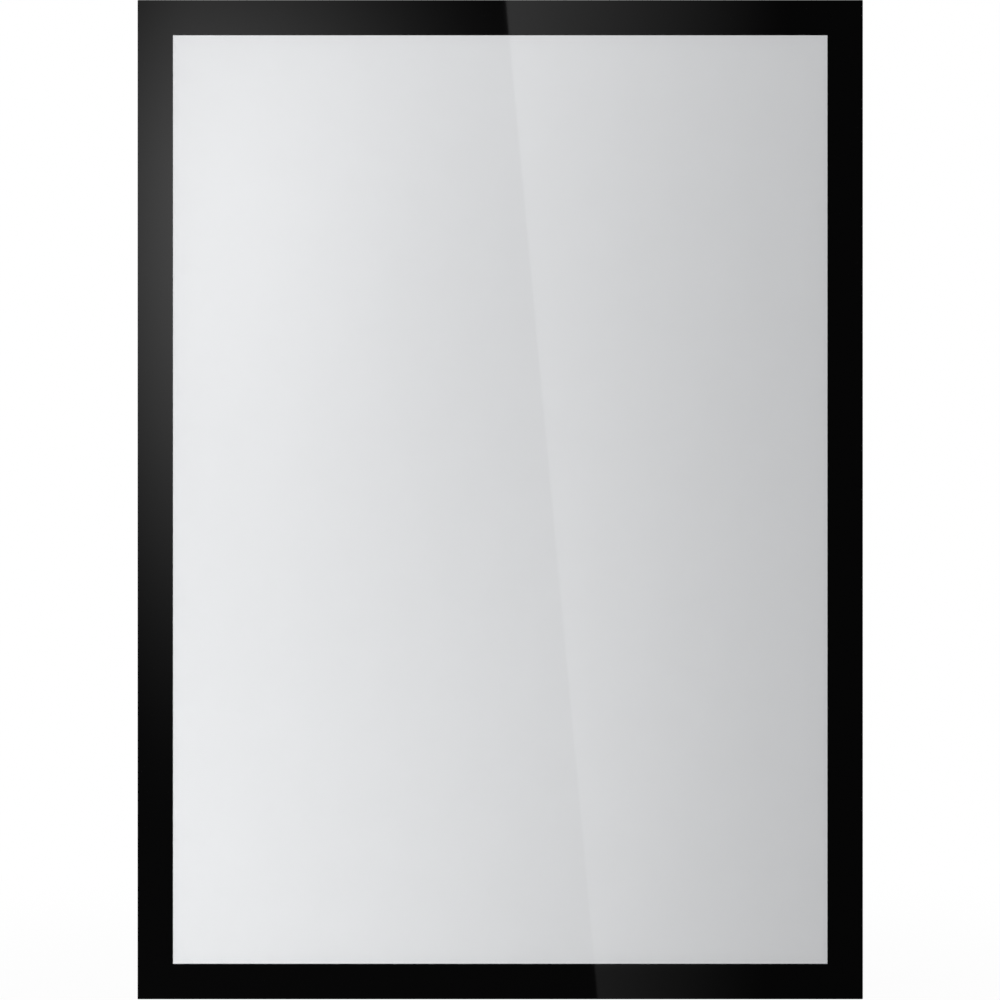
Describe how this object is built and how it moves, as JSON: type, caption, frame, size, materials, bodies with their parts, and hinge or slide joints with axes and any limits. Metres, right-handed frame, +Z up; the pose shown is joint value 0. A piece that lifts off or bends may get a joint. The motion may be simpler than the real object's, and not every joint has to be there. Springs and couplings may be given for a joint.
{
  "type": "magnetic display frame",
  "caption": "Thin self-adhesive wall frame for one sheet: a hinged front leaf with black border and clear window closes by magnet strips on a matching back panel.",
  "frame": {"origin": "centre of the wall plane, at the rear faces of the adhesive strips", "axes": "+Z up along the long sides, +Y into the wall so that the front faces -Y, +X to the right as seen from the front"},
  "size_m": [0.3257, 0.0028, 0.4486],
  "materials": {
    "black_foil": "gloss",
    "clear_film": "gloss",
    "magnet_rubber": "matte",
    "hinge_tape": "satin",
    "sheet_paper": "matte",
    "clear_adhesive": "satin"
  },
  "bodies": {
    "back_panel": {"adhesive_strip_top": "clear_adhesive", "adhesive_strip_bottom": "clear_adhesive", "adhesive_strip_left": "clear_adhesive", "adhesive_strip_right": "clear_adhesive", "back_border_foil": "black_foil", "back_film": "clear_film", "back_magnet_top": "magnet_rubber", "back_magnet_bottom": "magnet_rubber", "back_magnet_left": "magnet_rubber", "back_magnet_right": "magnet_rubber", "insert_sheet": "sheet_paper", "hinge_tape_back_leaf": "hinge_tape"},
    "front_leaf": {"hinge_tape_front_leaf": "hinge_tape", "front_magnet_top": "magnet_rubber", "front_magnet_bottom": "magnet_rubber", "front_magnet_left": "magnet_rubber", "front_magnet_right": "magnet_rubber", "front_film": "clear_film", "front_border_foil": "black_foil"}
  },
  "joints": [
    {"name": "front_leaf_hinge", "type": "hinge", "parent": "back_panel", "child": "front_leaf", "pos_m": [-0.16275, -0.00154, 0], "axis": [0, 0, -1], "range_deg": [0, 175]}
  ]
}
